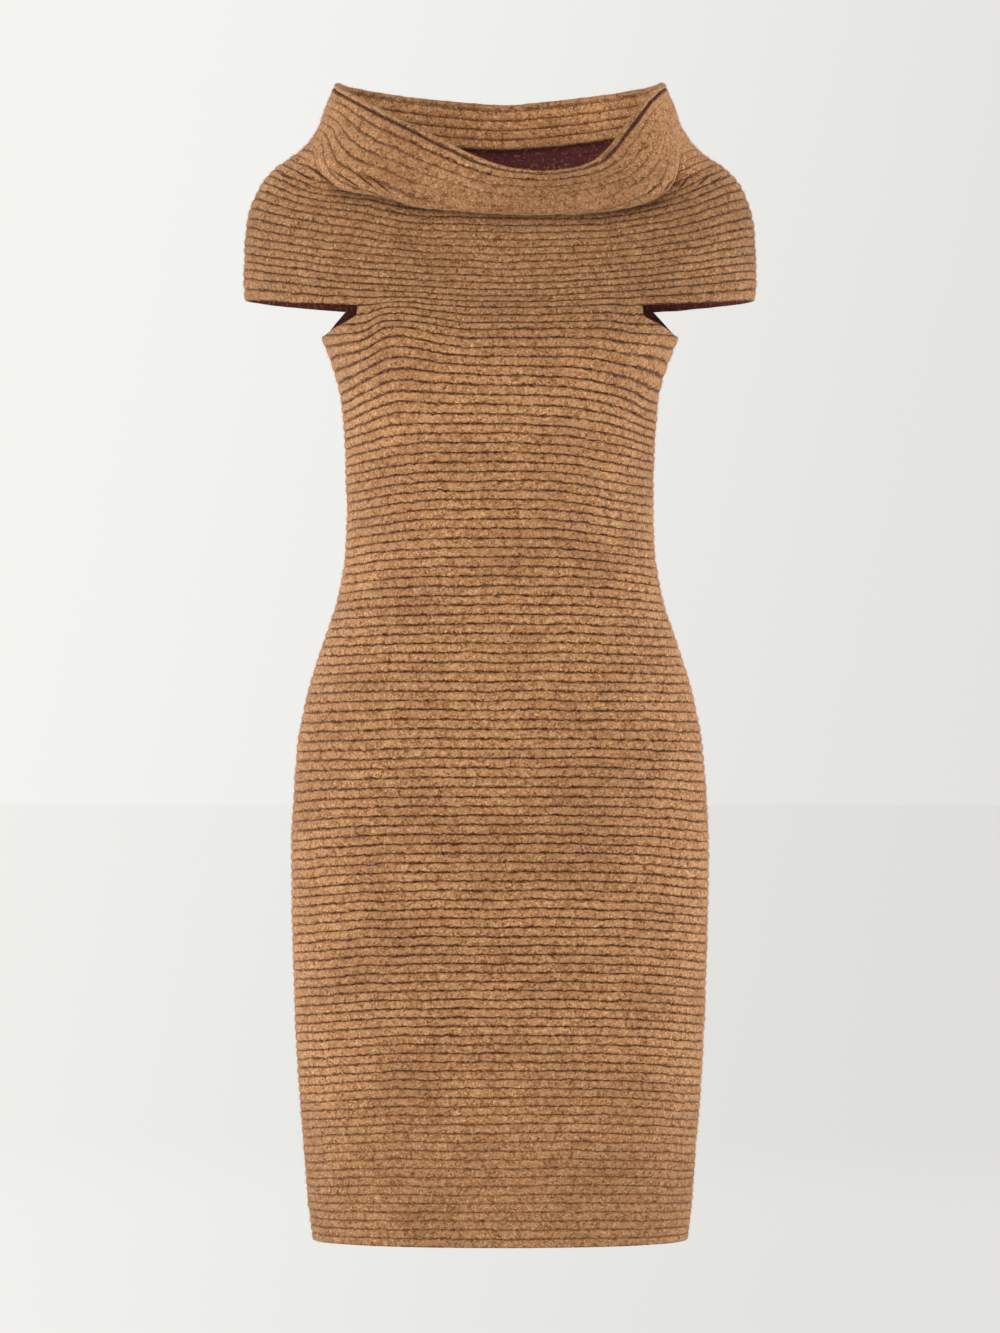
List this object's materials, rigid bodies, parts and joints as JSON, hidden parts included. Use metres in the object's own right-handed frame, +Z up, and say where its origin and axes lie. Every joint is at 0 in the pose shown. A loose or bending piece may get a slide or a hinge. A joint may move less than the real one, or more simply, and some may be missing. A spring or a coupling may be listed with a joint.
{
  "type": "sweater dress",
  "caption": "Fitted knee-length ribbed sweater dress, off the shoulders, with cap sleeves, open underarms and a wide turned-in collar that slumps into a fold at the front.",
  "frame": {"origin": "on the centre line, level with the upper arms, where the sleeves and the yoke are held by the wearer", "axes": "+Z up towards the neck, +X towards the viewer's right, front of the dress towards -Y"},
  "size_m": [0.4416, 0.2397, 0.9936],
  "materials": {
    "rib_knit_front": "brushed camel yarn in horizontal ribs, dark plum yarn in the grooves",
    "rib_knit_back": "brushed camel yarn in horizontal ribs, dark plum yarn in the grooves",
    "rib_knit_sleeves": "brushed camel yarn in horizontal ribs, dark plum yarn in the grooves",
    "rib_knit_collar": "brushed camel yarn in horizontal ribs, dark plum yarn in the grooves",
    "rib_knit_turned_in": "brushed camel yarn in ribs on the side that shows inside the neck"
  },
  "bodies": {
    "root": {"front_panel": "rib_knit_front", "back_panel": "rib_knit_back", "sleeve_left": "rib_knit_sleeves", "sleeve_right": "rib_knit_sleeves", "collar_front": "rib_knit_collar", "collar_back": "rib_knit_collar", "collar_turned_in": "rib_knit_turned_in"}
  },
  "joints": []
}
